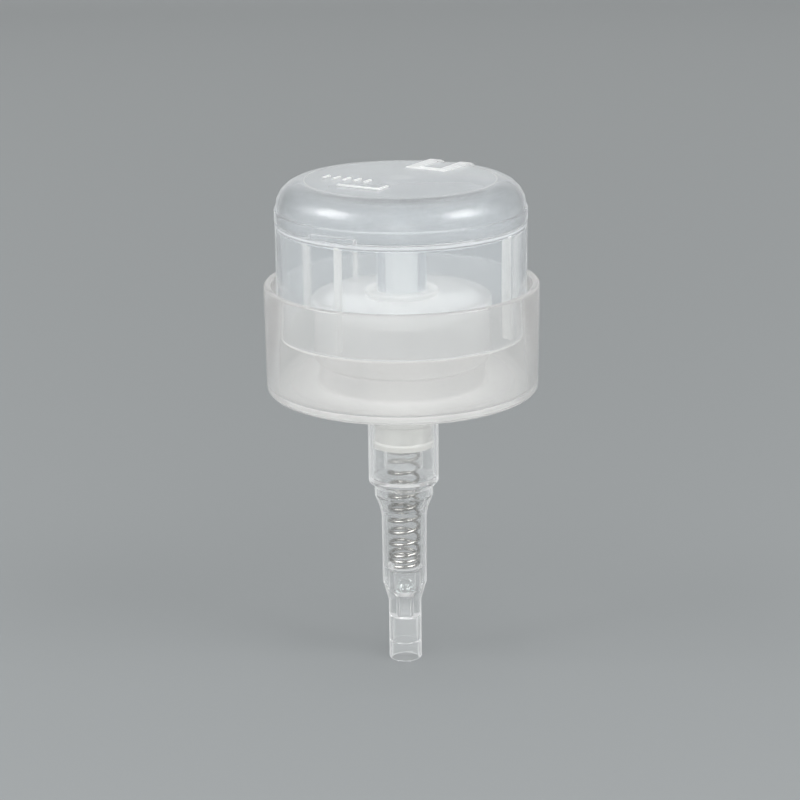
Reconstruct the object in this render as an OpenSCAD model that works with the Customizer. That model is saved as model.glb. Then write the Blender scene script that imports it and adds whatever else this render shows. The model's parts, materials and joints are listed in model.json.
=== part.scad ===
// Push-down liquid pump head with a flip lid, for a bottle with a 24 mm screw neck.
// The origin is the centre of the neck's sealing plane, +Z up and the lid's hinge towards +Y.
// The stations of the parts below that plane are depths, given as positive numbers.

/* [Outer shell] */
// Radius of the collar at its rim
collar_r = 22; // [20:0.1:28]
// Height of the collar from its floor to its rim
collar_h = 17.5; // [15:0.1:22]
// Height of the collar's rim above the sealing plane
collar_rim_z = 5.8; // [5:0.1:8]
// Wall of the collar and of its floor
collar_wall = 1.2; // [0.8:0.1:1.6]
// How much narrower the collar is at its floor
collar_draft = 0.13; // [0:0.01:0.3]
// Radius of the head's skirt
skirt_r = 20; // [18.6:0.1:26]
// Wall of the head's skirt
skirt_wall = 1; // [0.7:0.1:1.3]
// Length of the skirt below the head's rim
skirt_h = 18.2; // [12:0.1:19]
// Height of the head's rim above the sealing plane
head_z = 16; // [15:0.1:22]
// Thickness of the head's plate
plate_t = 0.9; // [0.7:0.1:1.5]

/* [Lid] */
// Height of the lid's flange
flange_h = 1.9; // [1.5:0.1:3]
// Radius of the lid's shoulder
shoulder_r = 4.5; // [3.5:0.1:5.5]
// Height of the lid from its seam to the crease round its top
lid_h = 6.2; // [5.5:0.1:8]
// Rise of the lid's top from the crease to the middle
lid_crown = 0.3; // [0:0.05:1]
// Wall of the lid
lid_wall = 1; // [0.8:0.1:1.4]
// Gap of the closed lid over the head's rim
lid_gap = 0.12; // [0.1:0.01:0.3]
// Radius of the trunnions that the lid turns on
trunnion_r = 0.7; // [0.5:0.05:0.85]
// Radius of the lid's knuckle
knuckle_r = 1.15; // [1:0.05:1.3]
// Width of the knuckle between the head's two lugs
knuckle_w = 6.2; // [4:0.1:8]
// Width of each lug
lug_w = 1.6; // [1.2:0.1:2]
// Height of the raised straps and marks on the lid
raised_h = 0.35; // [0.2:0.05:0.5]

/* [Neck] */
// Radius of the cap's thread at its crests
crest_r = 11.3; // [10.8:0.05:11.6]
// Radius of the cap's thread at its roots
root_r = 12.3; // [12:0.05:12.6]
// Rise of the thread in one turn
thread_pitch = 3.175; // [2.5:0.005:4]
// Top of the deck above the sealing plane
deck_z = 3.8; // [3.6:0.1:4.6]
// Thickness of the deck
deck_t = 1.4; // [1:0.1:1.5]
// Radius of the deck and of the upper part of the inner wall
deck_r = 14.4; // [13.9:0.1:15.5]
// Radius of the lower part of the inner wall
inner_wall_r = 13.5; // [13.2:0.1:13.8]
// Depth of the step in the inner wall
inner_step_depth = 6.6; // [4:0.1:8]
// Radius of the gasket
gasket_r = 11.1; // [10.6:0.1:11.2]
// Thickness of the gasket
gasket_t = 1; // [0.6:0.1:1.2]

/* [Pump] */
// Outer radius of the housing's barrel
barrel_r = 5.75; // [5.7:0.05:6]
// Radius of the barrel's bore
bore_r = 5.1; // [5:0.05:5.2]
// Depth of the barrel's foot
barrel_depth = 27.5; // [27:0.1:30]
// Outer radius of the step below the barrel
step_r = 4.78; // [4.6:0.01:4.9]
// Outer radius of the spring tube
tube_r = 3.72; // [3.6:0.01:3.9]
// Radius of the spring tube's bore
tube_bore_r = 3.02; // [2.95:0.01:3.1]
// Depth of the spring's seat
seat_depth = 42.4; // [41:0.1:46]
// Outer radius of the tube stub
stub_r = 2.71; // [2.5:0.01:3]
// Radius of the socket for a dip tube
socket_r = 2; // [1.8:0.05:2.15]
// Depth of the stop in that socket
socket_stop_depth = 51.3; // [50.2:0.1:54]
// Depth of the stub's end
stub_depth = 58.8; // [57:0.1:65]
// Travel of the head when it is pressed
stroke = 5; // [3:0.1:5.4]
// Depth of the piston's foot
piston_depth = 21.4; // [21:0.1:22]
// Height of the piston
piston_h = 4.9; // [4:0.1:5.2]
// Outer radius of the stem
stem_r = 2.6; // [2.3:0.05:2.7]
// Radius of the stem's passage
passage_r = 1.45; // [1.3:0.05:1.5]
// Radius of the post that holds the stem
post_r = 3.95; // [3.6:0.05:4]
// Radius of the inlet ball
inlet_ball_r = 1.45; // [1.35:0.01:1.5]
// Radius of the outlet ball
outlet_ball_r = 1.1; // [1.05:0.01:1.2]

/* [Spring] */
// Outer radius of the spring
spring_r = 2.7; // [2.5:0.01:2.72]
// Radius of the spring's wire
wire_r = 0.3; // [0.2:0.01:0.35]
// Rise of the open part of the spring in one turn
spring_pitch = 2.1; // [1.8:0.05:2.6]
// Depth of the spring's top
spring_top_depth = 21.5; // [21:0.1:22]

/* [Hidden] */
$fn = 96;
running_gap = 0.06;
slide_gap = 0.15;
turn_gap = 0.1;
eps = 0.01;

// lid and hinge stations
seam_z = head_z + lid_gap;
crease_z = seam_z + lid_h;
lid_r = skirt_r - 0.2;
lid_flange_r = skirt_r + 0.05;
crease_r = lid_r - shoulder_r;
hinge_y = skirt_r - 0.7;
hinge_z = seam_z + knuckle_r + 0.05;
lug_r = knuckle_r + 0.2;
lug_x = knuckle_w / 2 + slide_gap;
lug_clear_r = lug_r + 0.3;
outlet_r = 1;
pin_r = outlet_r - slide_gap;

// neck and deck stations
flange_r = root_r - 0.2;
flange_top = deck_z - deck_t - turn_gap;
throat_r = bore_r + slide_gap;
plug_ring_r = barrel_r + 0.15;
plug_ring_t = 0.9;
plug_top = deck_z + turn_gap + plug_ring_t;
collar_foot_z = collar_rim_z - collar_h;
thread_top_z = -1.6;
thread_foot_z = collar_foot_z + 2.4;

// plunger stations, as depths
piston_top_depth = piston_depth - piston_h;
cup_flange_t = 0.9;
cup_flange_depth = piston_top_depth - cup_flange_t;
plug_depth = cup_flange_depth - slide_gap;
cup_r = 3.2;
cup_foot_depth = 25.1;
cup_top_depth = 9;
stem_foot_depth = 14.6;
ball_seat_depth = stem_foot_depth + 0.4;
post_foot_z = deck_z - 0.6;
guide_depth = stroke - post_foot_z + 1;

// foot of the housing, as depths
barrel_chamfer = 0.95;
step_depth = 30;
cone_depth = 33;
tube_foot_depth = seat_depth + 2.4;
stub_top_depth = seat_depth + 5.5;
lip_t = 0.7;
cage_r = inlet_ball_r + 0.3;
cage_depth = seat_depth + 4;
inlet_r = 0.95;
inlet_depth = cage_depth + 1;
seat_slope = (cage_r - inlet_r) / (inlet_depth - cage_depth);

// how far below the start of a cone that narrows by slope a ball's centre rests
function ball_rest(top_r, slope, ball_r) = (top_r - (ball_r + 0.02) * sqrt(1 + slope * slope)) / slope;

// points of an arc, from one angle to another
function arc(cx, cy, r, from, to, steps = 8) =
    [for (i = [0:steps]) let (a = from + (to - from) * i / steps) [cx + r * cos(a), cy + r * sin(a)]];

module natural_pp() { color([0.86, 0.89, 0.9, 0.55]) children(); }
module milky_pp() { color([0.93, 0.94, 0.94, 0.8]) children(); }

// half section of the lid's outside, or of its inside when inset by the wall
module lid_shell_profile(inset) {
    r = lid_r - inset;
    top = crease_z - inset;
    round_r = shoulder_r - inset;
    square_r = r - round_r;
    translate([0, seam_z - eps]) square([square_r, top - seam_z + eps]);
    translate([0, seam_z - eps]) square([r, top - round_r - seam_z + eps]);
    translate([square_r, top - round_r]) intersection() {
        circle(round_r);
        square(round_r + 1);
    }
}

// the crowned top is part of a large ball that meets the crease
module lid_crown_cap(inset) {
    ball_r = (crease_r * crease_r + lid_crown * lid_crown) / (2 * lid_crown);
    translate([0, 0, crease_z - inset]) intersection() {
        translate([0, 0, lid_crown - ball_r]) rotate_extrude() intersection() {
            circle(ball_r, $fn = 360);
            translate([0, ball_r - lid_crown - 0.2]) square([crease_r, lid_crown + 0.2]);
        }
        translate([0, 0, -0.1]) cylinder(r = crease_r, h = lid_crown + 0.2);
    }
}

// one raised strap that follows the lid's top and shoulder
module lid_strap(x, width, from_y) {
    intersection() {
        translate([x - width / 2, from_y, seam_z + lug_clear_r]) cube([width, skirt_r, lid_h + 2]);
        rotate_extrude() lid_shell_profile(-raised_h);
        cylinder(r = lid_r, h = crease_z + raised_h);
    }
}

module lid_marks() {
    strap_w = 1.5;
    strap_x = 2.8;
    strap_bar_y = 7.5;
    sunk = 0.4;
    mark_z = crease_z - sunk;
    mark_h = sunk + lid_crown + raised_h - 0.15;
    line_w = 0.5;
    dash_x = -10.6;
    dash_y = -6.4;
    dash_l = 2;
    dash_step = 1.9;
    dash_count = 5;
    angle_x = -5.4;
    angle_y = -10.3;
    angle_w = 7.7;
    angle_l = 3;
    lid_strap(-strap_x, strap_w, strap_bar_y + 1);
    lid_strap(strap_x, strap_w, strap_bar_y + 1);
    intersection() {
        translate([-strap_x - strap_w / 2, strap_bar_y, crease_z - 0.5])
            cube([2 * strap_x + strap_w, strap_w, 2]);
        rotate_extrude() lid_shell_profile(-raised_h);
    }
    // a row of plain dashes, and a plain angle nearer the edge to lift
    for (i = [0:dash_count - 1]) {
        translate([dash_x + i * dash_step, dash_y, mark_z]) cube([line_w, dash_l, mark_h]);
    }
    translate([angle_x, angle_y, mark_z]) cube([angle_w, line_w, mark_h]);
    translate([angle_x + angle_w - line_w, angle_y, mark_z]) cube([line_w, angle_l, mark_h]);
}

module hinge_cylinder(r, from_x, to_x) {
    translate([from_x, hinge_y, hinge_z]) rotate([0, 90, 0]) cylinder(r = r, h = to_x - from_x);
}

module lid() {
    notch_x = lug_x + lug_w + 0.25;
    lift_w = 8;
    lift_t = 0.9;
    lift_reach = 0.8;
    pin_ring_r = 2.2;
    pin_ring_h = 0.6;
    natural_pp() {
        difference() {
            union() {
                difference() {
                    union() {
                        rotate_extrude() {
                            lid_shell_profile(0);
                            translate([0, seam_z]) square([lid_flange_r, flange_h]);
                        }
                        lid_crown_cap(0);
                        lid_marks();
                    }
                    rotate_extrude() lid_shell_profile(lid_wall);
                    translate([0, 0, seam_z - 1]) cylinder(r = lid_r - lid_wall, h = 1 + eps);
                }
                // small lift lip at the front
                intersection() {
                    translate([-lift_w / 2, -skirt_r - lift_reach - 0.1, seam_z]) cube([lift_w, 2, lift_t]);
                    translate([0, 0, seam_z]) cylinder(r = skirt_r + lift_reach, h = lift_t);
                }
            }
            // room for the head's lugs, all the way round their swing
            hinge_cylinder(lug_clear_r, -notch_x, notch_x);
            translate([-notch_x, hinge_y - lug_clear_r, seam_z - 1])
                cube([2 * notch_x, 2 * lug_clear_r + 1, hinge_z - seam_z + 1]);
        }
        hinge_cylinder(knuckle_r, -knuckle_w / 2, knuckle_w / 2);
        hinge_cylinder(trunnion_r, -lug_x - lug_w + 0.1, lug_x + lug_w - 0.1);
        // web between the knuckle and the shell
        difference() {
            translate([-knuckle_w / 2, hinge_y - lug_clear_r - 0.3, hinge_z])
                cube([knuckle_w, lug_clear_r + 0.3, lug_clear_r + 0.3]);
            rotate_extrude() lid_shell_profile(lid_wall);
            difference() {
                translate([0, 0, hinge_z - 1]) cylinder(r = 2 * skirt_r, h = 4);
                translate([0, 0, hinge_z - 2]) cylinder(r = lid_r, h = 6);
            }
        }
        // pin that closes the outlet, with its foot ring
        translate([0, 0, head_z - plate_t + 0.15]) cylinder(r = pin_r, h = crease_z - head_z);
        translate([0, 0, crease_z - lid_wall - pin_ring_h]) cylinder(r = pin_ring_r, h = pin_ring_h + 0.1);
    }
}

module head() {
    bowl_r = skirt_r - skirt_wall - 0.8;
    plate_z = head_z - plate_t;
    bowl_depth = 0.7;
    well_r = 4.5;
    rib_foot_z = head_z - skirt_h + 0.8;
    rib_w = 0.8;
    rib_r = skirt_r - 0.5;
    thin_rib_w = 0.5;
    thin_rib_foot_z = rib_foot_z + 0.6;
    thin_rib_angle = 56;
    lug_h = 3;
    natural_pp() difference() {
        union() {
            // skirt
            difference() {
                translate([0, 0, head_z - skirt_h]) cylinder(r = skirt_r, h = skirt_h);
                translate([0, 0, head_z - skirt_h - 1]) cylinder(r = skirt_r - skirt_wall, h = skirt_h + 2);
            }
            // dished plate with its flat rim
            difference() {
                union() {
                    translate([0, 0, plate_z]) cylinder(r = skirt_r - skirt_wall + eps, h = plate_t);
                    translate([0, 0, plate_z - bowl_depth])
                        cylinder(r1 = well_r, r2 = bowl_r, h = bowl_depth + eps);
                    translate([0, 0, plate_z - bowl_depth]) cylinder(r = well_r, h = bowl_depth + eps);
                }
                translate([0, 0, head_z - bowl_depth])
                    cylinder(r1 = well_r, r2 = bowl_r, h = bowl_depth + eps);
            }
            // post that the stem is pressed into
            translate([0, 0, post_foot_z]) cylinder(r = post_r, h = plate_z - post_foot_z + eps);
            // three stiffening ribs inside the skirt, and two thinner ones
            intersection() {
                union() {
                    for (angle = [90:90:270]) {
                        rotate(angle) translate([-rib_w / 2, 0, rib_foot_z])
                            cube([rib_w, rib_r, plate_z - rib_foot_z]);
                    }
                    for (angle = [-thin_rib_angle, thin_rib_angle]) {
                        rotate(angle) translate([-thin_rib_w / 2, 0, thin_rib_foot_z])
                            cube([thin_rib_w, rib_r, plate_z - thin_rib_foot_z]);
                    }
                }
                difference() {
                    translate([0, 0, rib_foot_z]) cylinder(r = rib_r, h = skirt_h);
                    translate([0, 0, rib_foot_z - 1]) cylinder(r = rib_r - 1.6, h = skirt_h + 2);
                }
            }
            // hinge lugs
            for (side = [-1, 1]) {
                inner_x = side > 0 ? lug_x : -lug_x - lug_w;
                hinge_cylinder(lug_r, inner_x, inner_x + lug_w);
                translate([inner_x, hinge_y - lug_r, head_z - lug_h])
                    cube([lug_w, 2 * lug_r, hinge_z - head_z + lug_h]);
            }
        }
        // stem socket and outlet
        translate([0, 0, post_foot_z - 1])
            cylinder(r = stem_r, h = plate_z - bowl_depth - 0.3 - post_foot_z + 1);
        cylinder(r = outlet_r, h = head_z + 1);
        // trunnion bores
        hinge_cylinder(trunnion_r + running_gap, -lug_x - lug_w - 1, lug_x + lug_w + 1);
    }
}

module stem() {
    stem_top_z = head_z - plate_t - 1;
    valve_room_depth = ball_seat_depth - 3.2;
    milky_pp() difference() {
        translate([0, 0, -stem_foot_depth]) cylinder(r = stem_r, h = stem_top_z + stem_foot_depth);
        translate([0, 0, -stem_foot_depth - 1])
            cylinder(r = passage_r, h = 1 + stem_foot_depth - valve_room_depth);
        translate([0, 0, -stem_foot_depth - 1]) cylinder(r = outlet_ball_r - 0.25, h = 60);
        translate([0, 0, -valve_room_depth + 1]) cylinder(r = passage_r, h = 60);
    }
}

module outlet_ball() {
    seat_r = outlet_ball_r - 0.3;
    color("lightcyan") translate([0, 0, -ball_seat_depth + sqrt(pow(outlet_ball_r + 0.02, 2) - seat_r * seat_r)])
        sphere(outlet_ball_r);
}

module spring_cup() {
    milky_pp() difference() {
        union() {
            translate([0, 0, -cup_foot_depth]) cylinder(r = cup_r, h = cup_foot_depth - cup_top_depth);
            translate([0, 0, -piston_top_depth]) cylinder(r = cup_r + 1, h = cup_flange_t);
            translate([0, 0, -piston_depth - 0.6]) cylinder(r1 = cup_r, r2 = cup_r + 0.35, h = 0.6);
        }
        // socket that the stem turns in
        translate([0, 0, -stem_foot_depth - turn_gap])
            cylinder(r = stem_r + running_gap, h = stem_foot_depth);
        translate([0, 0, -ball_seat_depth]) cylinder(r = passage_r + 0.1, h = 2);
        // passage and spring room
        translate([0, 0, -cup_foot_depth]) cylinder(r = outlet_ball_r - 0.3, h = cup_foot_depth);
        translate([0, 0, -spring_top_depth])
            cylinder(r = passage_r, h = spring_top_depth - ball_seat_depth - 1.2);
        translate([0, 0, -cup_foot_depth - 1])
            cylinder(r = spring_r + 0.1, h = cup_foot_depth + 1 - spring_top_depth);
    }
}

// sealing ring with a lip at each end
module piston() {
    lip_r = bore_r - running_gap;
    lip_h = 1;
    milky_pp() rotate_extrude() difference() {
        translate([cup_r, -piston_depth]) square([lip_r - cup_r, piston_h]);
        translate([lip_r - 0.35, -piston_depth + lip_h]) square([1, piston_h - 2 * lip_h]);
        translate([cup_r + 0.7, -piston_depth - eps]) square([0.6, 0.8]);
    }
}

// a coil spring with one closed turn at each end, swept as rings round its centreline
module return_spring() {
    coil_r = spring_r - wire_r;
    sides = 8;
    steps = 26;
    closed_rise = 2 * wire_r + 0.03;
    spring_foot = -seat_depth + wire_r + 0.02;
    spring_top = -spring_top_depth - wire_r - 0.02;
    open_turns = floor((spring_top - spring_foot - 2 * closed_rise) / spring_pitch);
    open_rise = (spring_top - spring_foot - 2 * closed_rise) / open_turns;
    turns = open_turns + 2;
    phase = 240;
    function rise(t) = t < 1 ? closed_rise * t
        : t > turns - 1 ? spring_top - spring_foot - closed_rise * (turns - t)
        : closed_rise + open_rise * (t - 1);
    function ring(t) = let (a = 360 * t + phase) [for (s = [0:sides - 1]) let (
            w = 360 * s / sides,
            r = coil_r + wire_r * cos(w)
        ) [r * cos(a), r * sin(a), spring_foot + rise(t) + wire_r * sin(w)]];
    count = floor(turns * steps);
    points = [for (i = [0:count]) each ring(i / steps)];
    walls = [for (i = [0:count - 1], s = [0:sides - 1])
        let (a = i * sides + s, b = i * sides + (s + 1) % sides) each [
            [a, a + sides, b],
            [b, a + sides, b + sides]
        ]];
    ends = [
        [for (s = [0:sides - 1]) s],
        [for (s = [sides - 1:-1:0]) count * sides + s]
    ];
    color("silver") polyhedron(points, concat(walls, ends), convexity = 10);
}

module inlet_ball() {
    ball_z = -cage_depth - ball_rest(cage_r, seat_slope, inlet_ball_r);
    color("lightcyan") translate([0, 0, ball_z]) sphere(inlet_ball_r);
}

// sleeve that is snapped into the barrel through the cap, and holds the plunger down
module throat_plug() {
    milky_pp() difference() {
        union() {
            translate([0, 0, deck_z + turn_gap]) cylinder(r = plug_ring_r, h = plug_ring_t - 0.3);
            translate([0, 0, plug_top - 0.3]) cylinder(r1 = plug_ring_r, r2 = plug_ring_r - 0.3, h = 0.3);
            translate([0, 0, -plug_depth]) cylinder(r = bore_r, h = deck_z + plug_depth + 0.2);
        }
        translate([0, 0, -guide_depth]) cylinder(r = post_r + slide_gap, h = 40);
        translate([0, 0, -plug_depth - 1]) cylinder(r = cup_r + slide_gap, h = 40);
    }
}

module housing_outline() {
    polygon(concat(
        [[0, flange_top], [flange_r, flange_top], [flange_r, gasket_t], [barrel_r, gasket_t]],
        [[barrel_r, -barrel_depth], [step_r, -barrel_depth - barrel_chamfer], [step_r, -step_depth]],
        [[tube_r + 0.35, -cone_depth + 1.1], [tube_r + 0.08, -cone_depth], [tube_r, -cone_depth - 1]],
        [[tube_r - 0.06, -tube_foot_depth]],
        arc(tube_r - 0.56, -tube_foot_depth, 0.5, 0, -50, 4),
        [[stub_r, -stub_top_depth], [stub_r, -stub_depth + 0.3], [stub_r - 0.3, -stub_depth]],
        [[0, -stub_depth]]
    ));
}

module housing_bore() {
    lead_depth = socket_stop_depth + 4.3;
    lead_r = socket_r + 0.2;
    ball_lip_r = inlet_ball_r - 0.15;
    polygon([
        [0, flange_top + 1], [bore_r, flange_top + 1], [bore_r, -barrel_depth + 0.9],
        [step_r - 0.65, -barrel_depth], [step_r - 0.65, -step_depth + 0.2], [tube_bore_r, -cone_depth + 0.6],
        [tube_bore_r, -seat_depth], [ball_lip_r, -seat_depth], [ball_lip_r, -seat_depth - lip_t],
        [cage_r, -seat_depth - lip_t], [cage_r, -cage_depth], [inlet_r, -inlet_depth],
        [inlet_r, -socket_stop_depth], [socket_r, -socket_stop_depth], [socket_r, -lead_depth],
        [lead_r, -lead_depth - 0.15], [lead_r, -stub_depth - 1], [0, -stub_depth - 1]
    ]);
}

module housing() {
    vent_r = 0.45;
    vent_depth = 19.3;
    natural_pp() difference() {
        rotate_extrude() difference() {
            housing_outline();
            housing_bore();
        }
        // two vent holes that the resting piston covers
        for (angle = [75, 165]) {
            rotate(angle) translate([bore_r - 0.5, 0, -vent_depth]) rotate([0, 90, 0])
                cylinder(r = vent_r, h = 2);
        }
    }
}

module neck_gasket() {
    color("white") difference() {
        cylinder(r = gasket_r, h = gasket_t);
        translate([0, 0, -1]) cylinder(r = barrel_r, h = gasket_t + 2);
    }
}

// groove of the cap's thread, swept round from below the wall to the room above it
module thread_groove() {
    steps = 30;
    foot = thread_foot_z - 1.2;
    turns = ceil((thread_top_z + 1.2 - foot) / thread_pitch * steps) / steps;
    count = floor(turns * steps);
    wide = thread_pitch * 0.4;
    narrow = thread_pitch * 0.3;
    groove_r = root_r - 0.15;
    bore_side_r = crest_r - 0.5;
    function section(z) =
        [[bore_side_r, z - wide], [groove_r, z - narrow], [groove_r, z + narrow], [bore_side_r, z + wide]];
    points = [for (i = [0:count]) let (a = 360 * i / steps) each
        [for (p = section(foot + thread_pitch * i / steps)) [p[0] * cos(a), p[0] * sin(a), p[1]]]];
    walls = [for (i = [0:count - 1], s = [0:3])
        let (a = 4 * i + s, b = 4 * i + (s + 1) % 4) each [[a, b, a + 4], [b, b + 4, a + 4]]];
    polyhedron(points, concat(walls, [[3, 2, 1, 0], [for (s = [0:3]) 4 * count + s]]), convexity = 10);
}

// deck, inner wall, floor and outer wall in one moulding
module screw_cap() {
    rim_r = collar_r - collar_wall;
    foot_r = collar_r - collar_draft;
    floor_top = collar_foot_z + collar_wall;
    foot_round = 0.9;
    deck_round = 0.4;
    bevel = 0.25;
    step = deck_r - inner_wall_r;
    natural_pp() difference() {
        rotate_extrude() polygon(concat(
            // throat, room for the flange and gasket, then the thread and its mouth
            [[throat_r, deck_z], [throat_r, deck_z - deck_t], [root_r, deck_z - deck_t]],
            [[root_r, thread_top_z]],
            [[crest_r, thread_top_z], [crest_r, thread_foot_z], [root_r, thread_foot_z - 0.6]],
            [[root_r, collar_foot_z + bevel], [root_r + bevel, collar_foot_z]],
            // foot, outer wall and rim
            arc(foot_r - foot_round, collar_foot_z + foot_round, foot_round, -90, 0),
            [[collar_r, collar_rim_z - bevel], [collar_r - bevel, collar_rim_z]],
            [[rim_r + bevel, collar_rim_z], [rim_r, collar_rim_z - bevel]],
            // floor, inner wall with its step, and deck
            [[rim_r, floor_top + bevel], [rim_r - bevel, floor_top]],
            [[inner_wall_r + bevel, floor_top], [inner_wall_r, floor_top + bevel]],
            [[inner_wall_r, -inner_step_depth - step / 2], [deck_r, -inner_step_depth]],
            arc(deck_r - deck_round, deck_z - deck_round, deck_round, 0, 90)
        ));
        thread_groove();
    }
}

lid();
head();
stem();
outlet_ball();
spring_cup();
piston();
return_spring();
inlet_ball();
throat_plug();
housing();
neck_gasket();
screw_cap();
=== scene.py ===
import bpy
import bmesh
import json
import math
from mathutils import Matrix, Vector


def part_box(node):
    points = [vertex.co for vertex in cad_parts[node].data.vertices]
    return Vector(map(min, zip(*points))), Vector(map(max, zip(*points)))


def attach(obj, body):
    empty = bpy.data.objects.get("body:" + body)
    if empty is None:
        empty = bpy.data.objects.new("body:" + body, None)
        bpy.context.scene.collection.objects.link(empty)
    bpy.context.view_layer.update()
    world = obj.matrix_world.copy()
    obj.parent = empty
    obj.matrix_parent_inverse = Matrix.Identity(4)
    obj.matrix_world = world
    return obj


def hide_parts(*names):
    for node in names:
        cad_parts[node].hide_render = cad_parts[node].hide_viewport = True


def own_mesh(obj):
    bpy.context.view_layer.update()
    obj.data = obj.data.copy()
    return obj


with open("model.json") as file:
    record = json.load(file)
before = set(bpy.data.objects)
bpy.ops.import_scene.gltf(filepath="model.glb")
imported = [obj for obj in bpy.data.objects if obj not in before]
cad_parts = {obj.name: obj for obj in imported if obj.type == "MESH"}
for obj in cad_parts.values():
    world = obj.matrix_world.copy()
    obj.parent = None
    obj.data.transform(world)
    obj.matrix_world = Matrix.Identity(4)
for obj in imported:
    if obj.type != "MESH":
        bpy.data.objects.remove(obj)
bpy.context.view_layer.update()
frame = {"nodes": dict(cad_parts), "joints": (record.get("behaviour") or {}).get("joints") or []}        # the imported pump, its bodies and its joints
scene = bpy.context.scene
print("stage: frame loaded")

mm = 0.001
turnSides = 160          # sides of a turned piece, enough for a smooth rim
filletSteps = 5          # steps in each rounded corner


def toLinear(hexCode):
    shares = [int(hexCode[i:i + 2], 16) / 255 for i in (1, 3, 5)]
    return [s / 12.92 if s <= 0.04045 else ((s + 0.055) / 1.055) ** 2.4 for s in shares] + [1.0]


def addNode(material, kind, inputs=None, **settings):
    node = material.node_tree.nodes.new(kind)
    for name, value in settings.items():
        setattr(node, name, value)
    for name, value in (inputs or {}).items():
        if isinstance(value, bpy.types.NodeSocket):
            material.node_tree.links.new(value, node.inputs[name])
        else:
            node.inputs[name].default_value = value
    return node


# every corner is (radius, height, fillet), all in mm, in order round the section
def softOutline(corners):
    outline = []
    for i, (r, z, fillet) in enumerate(corners):
        here = Vector((r, z))
        before = Vector(corners[i - 1][:2]) - here
        after = Vector(corners[(i + 1) % len(corners)][:2]) - here
        if fillet <= 0 or before.length == 0 or after.length == 0:
            outline.append(here)
            continue
        half = before.angle(after) / 2
        reach = fillet / math.tan(half)
        shareBefore = fillet / (fillet + max(corners[i - 1][2], 0))
        shareAfter = fillet / (fillet + max(corners[(i + 1) % len(corners)][2], 0))
        room = 0.98 * min(before.length * shareBefore, after.length * shareAfter)
        if reach > room:
            fillet *= room / reach
            reach = room
        centre = here + (before.normalized() + after.normalized()).normalized() * fillet / math.sin(half)
        first = here + before.normalized() * reach - centre
        last = here + after.normalized() * reach - centre
        turn = first.angle_signed(last)
        for step in range(filletSteps + 1):
            outline.append(centre + Matrix.Rotation(-turn * step / filletSteps, 2) @ first)
    return outline


def turned(corners, sides=turnSides):
    bm = bmesh.new()
    rings = []
    for r, z in softOutline(corners):
        if r < 1e-6:
            rings.append([bm.verts.new((0, 0, z * mm))])
            continue
        rings.append([
            bm.verts.new((r * mm * math.cos(a), r * mm * math.sin(a), z * mm))
            for a in (2 * math.pi * s / sides for s in range(sides))
        ])
    for here, after in zip(rings, rings[1:] + rings[:1]):
        for s in range(sides):
            t = (s + 1) % sides
            loop = [here[s % len(here)], here[t % len(here)], after[t % len(after)], after[s % len(after)]]
            distinct = list(dict.fromkeys(loop))
            if len(distinct) > 2:
                bm.faces.new(distinct)
    bmesh.ops.recalc_face_normals(bm, faces=bm.faces)
    return bm


# closes a run of rings, all with the same number of corners, into one solid
def closeRun(bm, rings):
    corners = len(rings[0])
    for here, after in zip(rings, rings[1:]):
        for s in range(corners):
            t = (s + 1) % corners
            bm.faces.new([here[s], after[s], after[t], here[t]])
    bm.faces.new(rings[0])
    bm.faces.new(list(reversed(rings[-1])))
    bmesh.ops.recalc_face_normals(bm, faces=bm.faces)
    return bm


# a block with soft edges, from its lowest to its highest corner in mm
def block(low, high, edge=0.12, turn=0.0):
    bm = bmesh.new()
    bmesh.ops.create_cube(bm, size=1)
    size = Vector(high) - Vector(low)
    middle = (Vector(high) + Vector(low)) / 2
    bmesh.ops.scale(bm, vec=size * mm, verts=bm.verts)
    bmesh.ops.translate(bm, vec=middle * mm, verts=bm.verts)
    if edge:
        bmesh.ops.bevel(bm, geom=list(bm.edges), offset=edge * mm, segments=2, profile=0.5, affect="EDGES")
    bmesh.ops.rotate(bm, matrix=Matrix.Rotation(turn, 3, "Z"), verts=bm.verts)
    return bm


# a round bar along X, through the place (y, z) in mm
def bar(radius, fromX, toX, y, z, sides=48):
    bm = bmesh.new()
    length = (toX - fromX) * mm
    middle = Matrix.Translation(((fromX + toX) / 2 * mm, y * mm, z * mm))
    bmesh.ops.create_cone(
        bm, cap_ends=True, segments=sides, radius1=radius * mm, radius2=radius * mm, depth=length,
        matrix=middle @ Matrix.Rotation(math.pi / 2, 4, "Y"))
    return bm


def toObject(bm, name):
    mesh = bpy.data.meshes.new(name)
    bm.to_mesh(mesh)
    bm.free()
    piece = bpy.data.objects.new(name, mesh)
    scene.collection.objects.link(piece)
    return piece


# adds or cuts closed solids, one after another
def combine(piece, solids, operation):
    for solid in solids:
        tool = toObject(solid, piece.name + ".tool")
        change = piece.modifiers.new("combine", "BOOLEAN")
        change.operation = operation
        change.solver = "EXACT"
        change.object = tool
        bpy.context.view_layer.update()
        result = bpy.data.meshes.new_from_object(piece.evaluated_get(bpy.context.evaluated_depsgraph_get()))
        piece.modifiers.clear()
        piece.data = result
        bpy.data.objects.remove(tool)
    return piece


# lays more closed solids, which touch none of the others, into the same piece
def joinSolids(piece, solids):
    bm = bmesh.new()
    bm.from_mesh(piece.data)
    for solid in solids:
        mesh = bpy.data.meshes.new("solid")
        solid.to_mesh(mesh)
        solid.free()
        bm.from_mesh(mesh)
        bpy.data.meshes.remove(mesh)
    bm.to_mesh(piece.data)
    bm.free()
    return piece


def finishPiece(piece, material, body, node, sharpAngle=33):
    piece.data.materials.clear()
    piece.data.materials.append(material)
    piece.data.shade_smooth()
    piece.data.set_sharp_from_angle(angle=math.radians(sharpAngle))
    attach(piece, body)
    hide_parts(node)
    return piece


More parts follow.
